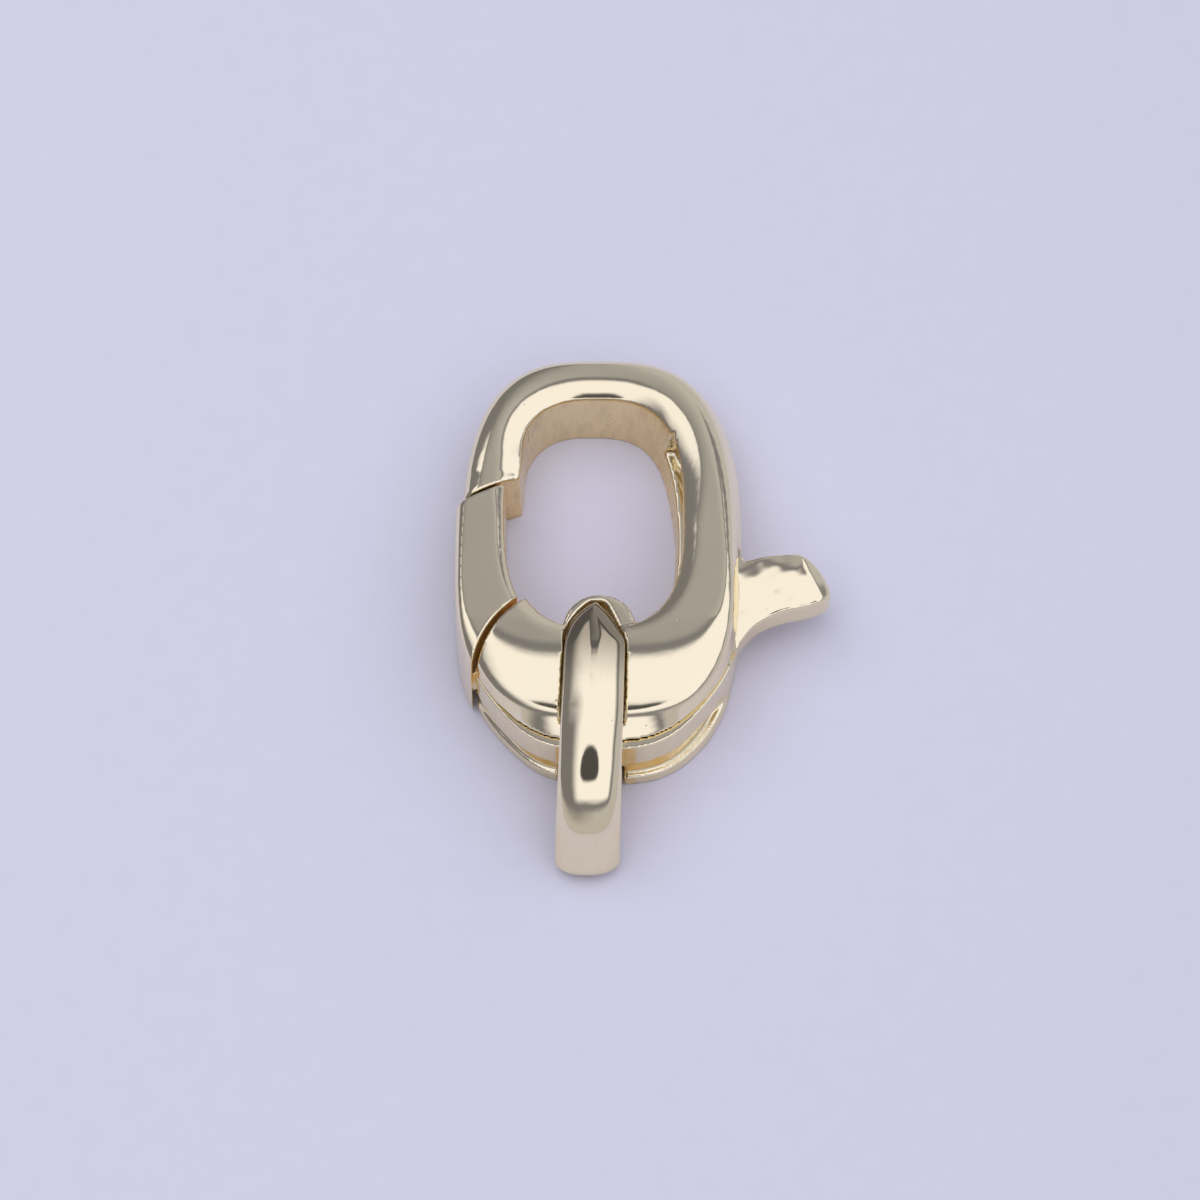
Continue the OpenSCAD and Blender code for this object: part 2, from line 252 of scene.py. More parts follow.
def prism(name, outline, low, high):
    bm = bmesh.new()
    made = bmesh.ops.create_circle(bm, cap_ends=True, segments=len(outline), radius=1.0)
    ordered = sorted(made["verts"], key=lambda v: math.atan2(v.co.x, -v.co.y))
    turn = sum(outline[i - 1][0] * p[1] - outline[i - 1][1] * p[0] for i, p in enumerate(outline))
    points = outline if turn > 0 else outline[::-1]
    for v, p in zip(ordered, points):
        v.co = Vector((p[0], p[1], low))
    top = bmesh.ops.extrude_face_region(bm, geom=bm.faces[:])
    lifted = [g for g in top["geom"] if isinstance(g, bmesh.types.BMVert)]
    bmesh.ops.translate(bm, verts=lifted, vec=(0, 0, high - low))
    bmesh.ops.recalc_face_normals(bm, faces=bm.faces)
    return new_object(name, bm)


def rounded(x, y, r, sides=ROUND_N):
    return [(x + r * math.cos(a), y + r * math.sin(a)) for a in all_round(sides)]


def block(x0, x1, y0, y1):
    return [(x0, y0), (x1, y0), (x1, y1), (x0, y1)]


def settle(piece):
    graph = bpy.context.evaluated_depsgraph_get()
    mesh = bpy.data.meshes.new_from_object(piece.evaluated_get(graph))
    piece.modifiers.clear()
    piece.data = mesh
    return piece


def combine(piece, tool, operation):
    cut = piece.modifiers.new(operation.lower(), "BOOLEAN")
    cut.operation = operation
    cut.solver = "MANIFOLD"
    cut.object = tool
    settle(piece)
    bpy.data.objects.remove(tool)
    return piece


def turned(piece, matrix):
    piece.data.transform(matrix)
    return piece


print("a cut right through goes from", UNDER, "to", OVER, "mm")

# %% [markdown]
# A polished casting has no sharp edge anywhere. Each cut solid is remeshed into small even
# faces, drawn back onto its own sharp surface so that the flats stay true, and then smoothed a
# little, which rounds only the edges. A Bevel modifier would trip over the thin faces that the
# cuts leave.

# %% Soften a casting and put it in its place
BODY_VOXEL, BODY_ROUNDS = 0.088, 2
LEVER_VOXEL, LEVER_ROUNDS = 0.06, 3


def smoothed(piece, rounds):
    smooth = piece.modifiers.new("smooth", "SMOOTH")
    smooth.factor = 0.5
    smooth.iterations = rounds
    return settle(piece)


def soften(piece, voxel, rounds):
    sharp = piece.copy()
    sharp.data = piece.data.copy()
    bpy.context.scene.collection.objects.link(sharp)
    remesh = piece.modifiers.new("remesh", "REMESH")
    remesh.mode = "VOXEL"
    remesh.voxel_size = voxel
    settle(piece)
    wrap = piece.modifiers.new("wrap", "SHRINKWRAP")
    wrap.target = sharp
    wrap.wrap_method = "NEAREST_SURFACEPOINT"
    settle(piece)
    smoothed(piece, rounds)
    bpy.data.objects.remove(sharp)
    return piece


def place(piece, node, body):
    piece.data.transform(Matrix.Translation((0, SHIFT_Y, 0)))
    piece.data.transform(Matrix.Scale(MM, 4))
    piece.data.shade_smooth()
    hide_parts(node)
    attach(piece, body)
    piece.data.calc_loop_triangles()
    print(piece.name, len(piece.data.loop_triangles), "triangles")
    return piece


print("softened faces are", BODY_VOXEL, "mm on the body and", LEVER_VOXEL, "mm on the lever")

# %% [markdown]
# The bail is one closed ring. Seen from the front it has straight sides that come together a
# little, and a narrow end that dives into its hole. The table gives the share of the half width
# that is left along the narrow end. The same outline, grown by a gap, cuts the hole and channels.

# %% The bail from the front
BAIL_W, BAIL_TAPER, BAIL_LEAN, BAIL_GAP = 2.66, 0.1, 0.42, 0.2
BAIL_REACH, BAIL_TOP, NARROW, NARROW_N = 6.75, 3.74, 2.0, 24
PLAN_LOW, ROOM_BLEND = -8.5, 0.5
LEFT_SHARES = [(0, 1), (0.45, 0.86), (0.75, 0.58), (0.92, 0.34), (1, 0.14)]
RIGHT_SHARES = [(0, 1), (0.45, 0.62), (0.75, 0.38), (0.92, 0.24), (1, 0.14)]
SHARE_STEP, SHARE_TAPS = 0.06, (-2, -1, 0, 1, 2)


def lookup(x, table):
    if x <= table[0][0]:
        return table[0][1]
    for (x0, y0), (x1, y1) in zip(table, table[1:]):
        if x <= x1:
            return y0 + (y1 - y0) * (x - x0) / (x1 - x0)
    return table[-1][1]


def smooth_lookup(x, table):
    return sum(lookup(x + SHARE_STEP * k, table) for k in SHARE_TAPS) / len(SHARE_TAPS)


def bail_side_at(y, table, sign):
    mid = -BAIL_LEAN / (BAIL_REACH + BAIL_TOP) * (BAIL_TOP - y)
    half = BAIL_W / 2 * (1 - BAIL_TAPER * (y + BAIL_REACH) / (BAIL_TOP + BAIL_REACH))
    return mid + sign * half * smooth_lookup((y - BAIL_TOP + NARROW) / NARROW, table)


def bail_left(y):
    return bail_side_at(y, LEFT_SHARES, -1)


def bail_right(y):
    return bail_side_at(y, RIGHT_SHARES, 1)


def bail_plan(grow, side_grow=None):
    ys = [PLAN_LOW] + [BAIL_TOP - NARROW + NARROW * k / NARROW_N for k in range(NARROW_N + 1)]
    left = [Vector((bail_left(y), y)) for y in ys]
    right = [Vector((bail_right(y), y)) for y in reversed(ys)]
    loop = left + right
    grown = []
    for i, p in enumerate(loop):
        way = (loop[(i + 1) % len(loop)] - loop[i - 1]).normalized()
        share = clip((p.y - BAIL_TOP + NARROW) / ROOM_BLEND)
        room = grow if side_grow is None else side_grow + (grow - side_grow) * share
        grown.append((p.x - way.y * room, p.y + way.x * room))
    return grown


print("bail is", round(bail_right(0) - bail_left(0), 2), "mm wide where it crosses the pivot")

# %% [markdown]
# Seen from its side the bail is an egg, high where it crosses the base and round at its free end.
# A closed curve goes smoothly through a few points of that view. Each point also gives the metal's
# thickness, which is least on the back leg.

# %% The bail from the side
BAIL_H, BAIL_T, BAIL_BACK_T = 5.7, 1.2, 0.7
BACK = BAIL_BACK_T / BAIL_T
# Each point is a share of the reach, of the height and of the thickness.
SIDE_VIEW = [
    (1, 0.3, 1), (1, 0.52, 1), (1, 0.76, 1), (0.95, 0.88, 1), (0.78, 0.97, 1), (0.42, 1, 1),
    (0, 0.974, 1), (-0.19, 0.942, 1), (-0.38, 0.892, 1), (-0.565, 0.802, 1), (-0.7, 0.7, 1),
    (-0.8, 0.585, 1), (-0.875, 0.46, 1), (-0.94, 0.3, 1), (-0.985, 0.15, 1), (-0.97, 0.06, 0.95),
    (-0.88, 0.004, 0.8), (-0.72, 0, BACK), (-0.2, 0, BACK), (0.3, 0, BACK), (0.74, 0.004, BACK),
    (0.92, 0.06, 0.8), (0.98, 0.15, 0.9)]


def through(p, q, r, s, f):
    bend, twist = 2 * p - 5 * q + 4 * r - s, 3 * q - p - 3 * r + s
    return 0.5 * (2 * q + (r - p) * f + bend * f * f + twist * f ** 3)


def heading(p, q, r, s, f):
    bend, twist = 2 * p - 5 * q + 4 * r - s, 3 * q - p - 3 * r + s
    return 0.5 * ((r - p) + bend * 2 * f + twist * 3 * f * f)


def side_point(t):
    n = len(SIDE_VIEW)
    k = int(t * n)
    f = t * n - k
    rows = []
    for i in (k - 1, k, k + 1, k + 2):
        y, z, m = SIDE_VIEW[i % n]
        rows.append(Vector((y * (BAIL_TOP if y > 0 else BAIL_REACH), z * BAIL_H, m * BAIL_T)))
    at = through(*rows, f)
    way = heading(*rows, f)
    way = Vector((way.x, way.y)).normalized()
    return at, Vector((way.y, -way.x))


print("bail is", BAIL_REACH + BAIL_TOP, "mm long and", BAIL_H, "mm high")

# %% [markdown]
# The ring's outer face is domed and its other faces are flat. The dome is rounder over the base,
# and flatter in the middle towards the free end. As with the body, a grid is laid on the band.

# %% Make the bail
BAIL_AROUND, BAIL_FACE_N, BAIL_WALL_N, BAIL_BACK_N = 352, 36, 7, 16
BAIL_DOME, DOME_SOFT, DOME_EDGE = 0.54, 0.6, 2.4
ROUND_POWER, FLAT_MORE, FLAT_FROM, FLAT_OVER = 1.8, 1.2, -1.2, 2.6
BAIL_ROUNDS = 3


def bail_power(y):
    low = clip((FLAT_FROM - y) / FLAT_OVER)
    return ROUND_POWER + FLAT_MORE * low * low * (3 - 2 * low)


def dome_depth(off, power):
    crown = DOME_SOFT * off ** power
    return crown + (1 - DOME_SOFT) * (1 - math.sqrt(max(0.0, 1 - off ** DOME_EDGE)))


def bail_point(t, j):
    at, out = side_point(t)
    metal = at.z
    drop = BAIL_DOME * metal / BAIL_T
    if j < BAIL_FACE_N:
        across = 0.5 - 0.5 * math.cos(math.pi * j / BAIL_FACE_N)
        depth = drop * dome_depth(abs(2 * across - 1), bail_power(at.x))
    elif j < BAIL_FACE_N + BAIL_WALL_N:
        across, depth = 1.0, drop + (metal - drop) * (j - BAIL_FACE_N) / BAIL_WALL_N
    elif j < BAIL_FACE_N + BAIL_WALL_N + BAIL_BACK_N:
        across, depth = 1 - (j - BAIL_FACE_N - BAIL_WALL_N) / BAIL_BACK_N, metal
    else:
        k = j - BAIL_FACE_N - BAIL_WALL_N - BAIL_BACK_N
        across, depth = 0.0, metal - (metal - drop) * k / BAIL_WALL_N
    y = at.x - out.x * depth
    x = bail_left(y) + (bail_right(y) - bail_left(y)) * across
    return x, y, at.y - out.y * depth


bail = band("bail_ring", BAIL_AROUND, BAIL_FACE_N + 2 * BAIL_WALL_N + BAIL_BACK_N, bail_point)
smoothed(bail, BAIL_ROUNDS)
place(bail, "bail", "bail_ring")

# %% [markdown]
# The bail goes through a hole in the base and lies in two channels. The front channel slopes with
# the bail's outer face. The back channel leaves a bar of metal for the bail to hang from. The gate
# needs a room of its own, a quarter of a ring round the pivot.

# %% Tools for the bail's hole and the gate's room
HOLE_LOW = BAIL_TOP - BAIL_T - BAIL_GAP
BAR_LOW, BAR_HIGH, BAR_SLOPE, BAR_ROOM = 1.06, 4.14, math.radians(6.5), 0.06
FRONT_ROOM, BACK_ROOM, SLOPE_T = 0.09, 0.1, 5
ARC_N = 90


def ring_sector(low_r, high_r):
    turns = [math.pi / 2 * (1 + k / ARC_N) for k in range(ARC_N + 1)]
    outside = [(high_r * math.cos(a), high_r * math.sin(a)) for a in turns]
    inside = [(low_r * math.cos(a), low_r * math.sin(a)) for a in reversed(turns)]
    return prism("gate_room", outside + inside, UNDER, OVER)


def bail_hole(gap):
    hole = prism("hole", bail_plan(gap), UNDER, OVER)
    upper = prism("upper", block(-BIG, BIG, HOLE_LOW, BIG), UNDER - 1, OVER + 1)
    return combine(hole, upper, "INTERSECT")


def front_channel():
    slope = prism("slope", block(-BIG, BIG, -BIG, BIG), 0, SLOPE_T)
    turned(slope, Matrix.Rotation(BAR_SLOPE, 4, "X"))
    turned(slope, Matrix.Translation((0, BAIL_TOP, BAR_HIGH + BAR_ROOM)))
    channel = prism("channel", bail_plan(BAIL_GAP, FRONT_ROOM), BAR_LOW, OVER)
    return combine(channel, slope, "INTERSECT")


def back_channel():
    return prism("back_channel", bail_plan(BAIL_GAP, BACK_ROOM), UNDER, BAR_LOW)


print("the bar under the bail is", round(BAR_HIGH - BAR_LOW, 2), "mm high")

# %% [markdown]
# Under the lever lies the back plate. Its rim stands out a little at the base end, has a thin
# upright edge with a slope above it, and is hollowed between that edge and the lever.

# %% The back plate's rim
PLATE_ASIDE, PLATE_DROP, RIM_T, RIM_SLOPE_T, RIM_TOP = 0.26, 0.12, 0.3, 1.45, 1.7
RIM_FROM, RIM_OVER, RIM_LEAN, RIM_LAP, RIM_HIGH = 0.46, 0.34, 0.9, 0.02, 2
RECESS, RECESS_LOW, RECESS_OVER, RECESS_RIGHT = 0.3, 0.6, 0.2, 0.8
RECESS_BLOCK, RECESS_HIGH = 12, 3
FLOOR_Z, ABOVE_EDGE = 1.5, 0.1


def rim_at(a):
    p = outer(a, flare(a))
    k = clip((low_side(a) - RIM_FROM) / RIM_OVER)
    return p.x + k * PLATE_ASIDE, p.y - k * PLATE_DROP


def rim_recess():
    kept = []
    for a in all_round(OUTLINE_N):
        x, y = rim_at(a)
        share = clip((low_side(a) - RIM_FROM) / RECESS_OVER) * RECESS * (1.0 + RECESS_RIGHT * math.cos(a))
        kept.append((x - share * math.cos(a), y - share * math.sin(a)))
    outline = block(-RECESS_BLOCK, RECESS_BLOCK, -RECESS_BLOCK, RIM_TOP)
    room = prism("recess", outline, RECESS_LOW, FLOOR_Z)
    return combine(room, prism("kept", kept, 0, RECESS_HIGH), "DIFFERENCE")


def base_rim():
    outline = [rim_at(a) for a in all_round(OUTLINE_N)]
    slope = prism("slope", outline, RIM_T, RIM_SLOPE_T)
    for v in slope.data.vertices:
        if v.co.z > RIM_T + ABOVE_EDGE:
            v.co.x -= RIM_LEAN * PLATE_ASIDE
            v.co.y += RIM_LEAN * PLATE_DROP
    combine(slope, prism("edge", outline, 0, RIM_T + RIM_LAP), "UNION")
    return combine(slope, prism("low", block(-BIG, BIG, -BIG, RIM_TOP), UNDER, RIM_HIGH), "INTERSECT")


print("the rim's upright edge is", RIM_T, "mm high")

# %% [markdown]
# The body starts as the domed band. The rim of the back plate and the arch round the bail's hole
# are added, then the lever's slot, the spring's pocket, the gate's room, the bail's hole and its
# two channels are cut. Cutting before softening keeps every edge of the casting equally soft.

# %% Cut the hook body
SLOT_TOP, SLOT_END = 3.24, 7.05
ARCH_WALL, ARCH_OVER, ARCH_X, ARCH_DROP = 0.15, 0.3, 0.1, 0.22
ARCH_R = BAIL_W / 2 + ARCH_WALL
ARCH_Y = BAIL_TOP + BAIL_GAP + ARCH_OVER - ARCH_R
POCKET = [(2.6, 6.05), (4.35, 6.05), (4.3, 9.3), (4.0, 11.0), (3.3, 12.4), (2.6, 12.4)]
body = metal_band("hook_casting", outer, inner, 1.0)
combine(body, base_rim(), "UNION")
combine(body, rim_recess(), "DIFFERENCE")
combine(body, prism("arch", rounded(ARCH_X, ARCH_Y, ARCH_R), 0, BASE_T - ARCH_DROP), "UNION")
combine(body, prism("slot", block(-BIG, BIG, -BIG, SLOT_END), FLOOR_Z, SLOT_TOP), "DIFFERENCE")
combine(body, prism("pocket", POCKET, FLOOR_Z, SLOT_TOP), "DIFFERENCE")
combine(body, ring_sector(SHOULDER_R, HOOK_END_R), "DIFFERENCE")
combine(body, bail_hole(BAIL_GAP), "DIFFERENCE")
combine(body, front_channel(), "DIFFERENCE")
combine(body, back_channel(), "DIFFERENCE")
soften(body, BODY_VOXEL, BODY_ROUNDS)
print("softened body has", len(body.data.vertices), "vertices")

# %% [markdown]
# The hook's tip is a little lower where it meets the gate. The mesh is fine enough by now
# to be bent vertex by vertex, with a share that grows towards the tip, the top and the outside.

# %% Lower the hook's tip
TIP_DROOP, TIP_TOP_Y, TIP_END_Y, TIP_LOW_SHARE = 0.15, 13.6, 10.4, 0.85
TIP_X, TIP_SIDE, TIP_Z, TIP_HIGH = -2.6, 0.8, 1.8, 1.2
for v in body.data.vertices:
    if v.co.x < TIP_X and HOOK_END_R * TIP_LOW_SHARE < v.co.y < TIP_TOP_Y and v.co.z > TIP_Z:
        share = min(1.0, (TIP_TOP_Y - v.co.y) / (TIP_TOP_Y - TIP_END_Y))
        high = min(1.0, (v.co.z - TIP_Z) / TIP_HIGH)
        outside = min(1.0, (TIP_X - v.co.x) / TIP_SIDE)
        v.co.z -= TIP_DROOP * share ** 2 * high * outside
place(body, "hook_body", "clasp_body")

# %% [markdown]
# The lever is one casting too: the gate is the full height of the hook, the hub is a flat plate
# between the body's two plates, and the thumb tab is the same plate carried out at the side,
# with its edges rounded over. The tab's outline is a smooth curve through a few points.

# %% The thumb tab
LEVER_Z, LEVER_T = 1.62, 1.5
TAB_REACH, TAB_TOP, TAB_W, TAB_STEPS = 3.86, 6.75, 2.3, 5
TAB_ROUND, TAB_ROUND_N, FLAT = 0.42, 5, 1e-6
# Each point is a share of the tab's reach and of its width, from its upper inner corner.
TAB = [(-0.2, 0.1), (0.08, 0.13), (0.31, 0.04), (0.5, 0), (0.68, 0), (0.8, 0.08), (0.9, 0.25),
       (0.985, 0.5), (1.015, 0.7), (0.95, 0.87), (0.78, 0.99), (0.5, 1.1), (0.24, 1.3), (0.05, 1.66),
       (-0.25, 2.4)]


def curve_through(points, steps):
    loop = []
    for k in range(len(points)):
        near_by = [Vector(points[(k + i) % len(points)]) for i in (-1, 0, 1, 2)]
        loop += [tuple(through(*near_by, f)) for f in spaced(steps)]
    return loop


def tab_solid():
    corners = [(HALF_W + ASIDE + TAB_REACH * x, TAB_TOP - TAB_W * y) for x, y in TAB]
    tab = prism("tab", curve_through(corners, TAB_STEPS), LEVER_Z, LEVER_Z + LEVER_T)
    bm = bmesh.new()
    bm.from_mesh(tab.data)
    rims = [e for e in bm.edges if abs(e.verts[0].co.z - e.verts[1].co.z) < FLAT]
    bmesh.ops.bevel(bm, geom=rims, offset=TAB_ROUND, offset_type="OFFSET", segments=TAB_ROUND_N,
                    profile=0.5, affect="EDGES", clamp_overlap=True, material=-1)
    bm.to_mesh(tab.data)
    bm.free()
    return tab


print("the tab reaches", TAB_REACH, "mm past the body's crease")

# %% [markdown]
# The hub fills the slot round the pivot. When the lever turns, the hub must not meet the bail, so
# the bail's hole is cut from it again and again while it turns from shut to open. On the right the
# hub goes on to the tab. The gate starts as a band like the body's, a little further out, and the
# three are joined before the casting is softened.

# %% Join the gate, the hub and the tab
OPEN_DEG, TURN_STEP = 18, 3
HUB_BACK, HUB_REACH_N, HUB_UNDER_TAB = 0.1, 180, 0.1
GATE_SHARE, GATE_FOOT, PIN_BORE_R = 0.6, 0.1, 0.52


def hub_solid():
    outline = [tuple(outer(a, flare(a))) for a in all_round(OUTLINE_N)]
    hub = prism("hub", outline, LEVER_Z, LEVER_Z + LEVER_T)
    eye = [tuple(inner(a, -HUB_BACK)) for a in all_round(OUTLINE_N)]
    combine(hub, prism("eye", eye, 0, OVER), "DIFFERENCE")
    reach = prism("reach", rounded(0, 0, SHOULDER_R + GATE_GAP, HUB_REACH_N), 0, OVER)
    top = TAB_TOP - HUB_UNDER_TAB
    combine(reach, prism("right", block(0, BIG, top - BIG, top), 0, OVER), "UNION")
    combine(hub, reach, "INTERSECT")
    for turn in range(0, OPEN_DEG + 1, TURN_STEP):
        notch = turned(bail_hole(2 * BAIL_GAP), Matrix.Rotation(math.radians(turn), 4, "Z"))
        combine(hub, notch, "DIFFERENCE")
    return hub


lever = metal_band("lever_casting", gate_outer, gate_inner, GATE_SHARE)
combine(lever, ring_sector(SHOULDER_R + GATE_GAP, HOOK_END_R - GATE_GAP), "INTERSECT")
combine(lever, prism("floor_cut", block(-BIG, BIG, -BIG, BIG), UNDER, GATE_FOOT), "DIFFERENCE")
combine(lever, hub_solid(), "UNION")
combine(lever, tab_solid(), "UNION")
combine(lever, prism("pin_bore", rounded(0, 0, PIN_BORE_R), 0, OVER), "DIFFERENCE")
soften(lever, LEVER_VOXEL, LEVER_ROUNDS)
print("softened lever has", len(lever.data.vertices), "vertices")

# %% [markdown]
# The tab's top isn't flat. It slopes down towards its lower edge, a facet is cut at its end, and
# faint ripples run over it. All three bend the top alone, with a share that is nothing at the
# underside and grows away from the hub.

# %% Bend the top of the tab
TAB_ROOT, TAB_ROOT_OVER, TAB_FOOT, TAB_FOOT_OVER = 5.1, 0.7, 1.4, 1.3
TAB_LIFT, TAB_SLOPE, TAB_EDGE, TAB_EDGE_SOFT = 0.06, 0.18, 6.5, 1.0
FACET_AT, FACET_OUT = Vector((8.5, 6.14)), Vector((0.933, 0.359))
FACET_SLOPE, FACET_SOFT = 0.62, 0.3
# Each ripple has its height and the waves of its two sines, along x and y.
RIPPLES = [(0.02, (3.1, 1.3), (-0.7, 2.3)), (0.004, (8.3, -3.1), (2.2, 6.1))]


def eased(distance, width):
    return max(0.0, distance) ** 2 / (2 * width) if distance < width else distance - width / 2


def ripple_at(x, y):
    return sum(height * math.sin(a[0] * x + a[1] * y) * math.sin(b[0] * x + b[1] * y)
               for height, a, b in RIPPLES)


for v in lever.data.vertices:
    if v.co.x > TAB_ROOT and v.co.y > TAB_FOOT:
        rise = clip((v.co.z - LEVER_Z) / LEVER_T)
        foot = min(1.0, (v.co.y - TAB_FOOT) / TAB_FOOT_OVER)
        root = min(1.0, (v.co.x - TAB_ROOT) / TAB_ROOT_OVER)
        share = root * root * (3 - 2 * root) * foot * foot * (3 - 2 * foot) * rise
        facet = (Vector((v.co.x, v.co.y)) - FACET_AT).dot(FACET_OUT)
        bent = TAB_LIFT + ripple_at(v.co.x, v.co.y)
        bent -= TAB_SLOPE * eased(TAB_EDGE - v.co.y, TAB_EDGE_SOFT)
        bent -= FACET_SLOPE * eased(facet, FACET_SOFT)
        v.co.z += share * bent
place(lever, "lever", "gate_lever")

# %% [markdown]
# Shader maths reads best as Python. A small class wraps a socket, and each operator adds the
# Math node that does it. Every other node comes from one method, which sets the node's own
# settings first and then the values or links of its sockets.


# %% Sockets that can be added and multiplied
class Wire:
    def __init__(self, tree, socket):
        self.tree = tree
        self.socket = socket

    def math(self, operation, *others):
        node = self.tree.nodes.new("ShaderNodeMath")
        node.operation = operation
        for slot, value in zip(node.inputs, (self, *others)):
            put(self.tree, slot, value)
        return Wire(self.tree, node.outputs[0])

    def __add__(self, other):
        return self.math("ADD", other)

    def __sub__(self, other):
        return self.math("SUBTRACT", other)

    def __mul__(self, other):
        return self.math("MULTIPLY", other)

    def __truediv__(self, other):
        return self.math("DIVIDE", other)

    def __rsub__(self, other):
        return (self * -1.0).math("ADD", other)

    __radd__ = __add__
    __rmul__ = __mul__

    def clamp(self):
        return self.math("MAXIMUM", 0.0).math("MINIMUM", 1.0)


def put(tree, slot, value):
    if isinstance(value, Wire):
        tree.links.new(value.socket, slot)
    else:
        slot.default_value = value


class Shader:
    def __init__(self, tree):
        self.tree = tree

    def node(self, kind, settings=None, out=0, **values):
        made = self.tree.nodes.new(kind)
        for name, value in (settings or {}).items():
            setattr(made, name, value)
        for name, value in values.items():
            number = name[1:]
            slot = int(number) if number.isdigit() else name.replace("_", " ")
            put(self.tree, made.inputs[slot], value)
        return Wire(self.tree, made.outputs[out])

    def parts(self, vector):
        made = self.tree.nodes.new("ShaderNodeSeparateXYZ")
        put(self.tree, made.inputs[0], vector)
        return [Wire(self.tree, output) for output in made.outputs]

    def noise(self, where, scale, detail, roughness=0.5):
        return self.node("ShaderNodeTexNoise", Vector=where, Scale=scale, Detail=detail,
                         Roughness=roughness)

    def smooth(self, value, low, high):
        return self.node("ShaderNodeMapRange", {"interpolation_type": "SMOOTHSTEP"}, Value=value,
                         From_Min=low, From_Max=high)

    def near(self, value, centre, reach, soft_from=0.92):
        return 1.0 - self.smooth((value - centre).math("ABSOLUTE"), soft_from * reach, reach)

    def colour(self, factor, first, second):
        return self.node("ShaderNodeMix", {"data_type": "RGBA"}, out=2, _0=factor, _6=first, _7=second)


print("a wire adds, subtracts, multiplies and divides")

# %% [markdown]
# In the narrow gaps, light goes from wall to wall and takes more of the gold's colour each time.
# That bounced light is painted: the walls at the gate's two ends, in the bail's hole and in the
# rim's hollow are painted a deeper yellow. Each gap is found by its place, in millimetres from
# the pivot, as a few soft steps. The rim's hollow fades with the square of x, which treats its
# left and right ends alike.

# %% Where the gaps of the castings are
GAP_HALF, LOWER_END_Z, UPPER_END, LEFT_OF_PIVOT = 0.13, (2.2, 2.6), 0.3, (-0.4, 0.0)
HOLE_X, HOLE_HALF, HOLE_FROM_Y, HOLE_TO_Y = -0.05, 1.7, (-2.4, -2.2), (4.15, 4.3)
HOLLOW_Z, HOLLOW_HALF, HOLLOW_TO_Y, HOLLOW_TO_XX = 1.02, 0.5, (1.5, 1.7), (6.0, 13.0)


def gaps_of_castings(s, x, y, z):
    from_pivot = (x * x + y * y).math("SQRT")
    lower = s.near(from_pivot, SHOULDER_R + GATE_GAP / 2, GAP_HALF) * s.smooth(z, *LOWER_END_Z)
    upper = s.near(from_pivot, HOOK_END_R - GATE_GAP / 2, GAP_HALF) * UPPER_END
    ends = (lower + upper) * (1.0 - s.smooth(x, *LEFT_OF_PIVOT))
    hole = s.near(x, HOLE_X, HOLE_HALF) * s.smooth(y, *HOLE_FROM_Y) * (1.0 - s.smooth(y, *HOLE_TO_Y))
    hollow = s.near(z, HOLLOW_Z, HOLLOW_HALF) * (1.0 - s.smooth(y, *HOLLOW_TO_Y))
    return ends + hole + hollow * (1.0 - s.smooth(x * x, *HOLLOW_TO_XX))


print("a gap's wall is", round(2 * GAP_HALF, 2), "mm wide at the gate's ends")

# %% [markdown]
# The finish is a pale gold plate over a cast surface. On the faces it is polished, with a faint
# orange peel and a few pits. On the inner walls and in the slots the casting is left rougher and
# is darker in upright streaks. The walls, most inside the hook, also get a painted deeper yellow
# that stands in for light bounced between them. Every pattern is read from the piece's own space.

# %% Colours and patterns of the plate
GOLD = (0.93, 0.84, 0.60, 1.0)
# The next colour is a random tone of the plate and also the walls' painted bounce light.
GOLD_DEEP = (0.90, 0.72, 0.40, 1.0)
# The next colour is painted bounce light, for the walls of the narrow gaps.
GOLD_PAINTED_BOUNCE = (0.92, 0.60, 0.17, 1.0)
GOLD_WORN = (0.66, 0.52, 0.33, 1.0)
# The next colour is painted shade for the bail's narrow end.
GOLD_PAINTED_SHADE = (0.34, 0.29, 0.20, 1.0)
# Each pattern has its scale, its detail and its roughness.
GRAIN, PEEL, LONG_WAVE = (9000.0, 3.0, 0.6), (1100.0, 2.0, 0.5), (330.0, 1.0, 0.4)
STREAK, TONE, STREAK_LONG = (2400.0, 3.0, 0.7), (260.0, 2.0, 0.5), (1.0, 1.0, 0.3)
PIT_SCALE, PIT_EDGE = 1300.0, (0.02, 0.075)
STEEP, INSIDE_HALF, INSIDE_LONG, INSIDE_EDGE = (0.25, 0.6), 4.35, 6.6, (0.8, 1.1)
# The last value on the next line is the share of painted bounce light on the inner walls' rounded edges.
OUTER_WALL, EDGE_IN, EDGE_OUT, EDGE_PAINTED_BOUNCE = 0.25, (0.08, 0.25), (0.5, 0.75), 0.8
CRESCENT_Z, CRESCENT_X, CRESCENT_Y, CRESCENT_FLAT = (1.25, 1.45), (2.4, 3.2), (-8.6, -7.8), (0.2, 0.5)
# The painted shade on the bail: how far it takes to grow, and how strong it gets.
PAINTED_SHADE_OVER, PAINTED_SHADE_MOST = 2.6, 0.9


def fourth(value):
    return value * value * value * value


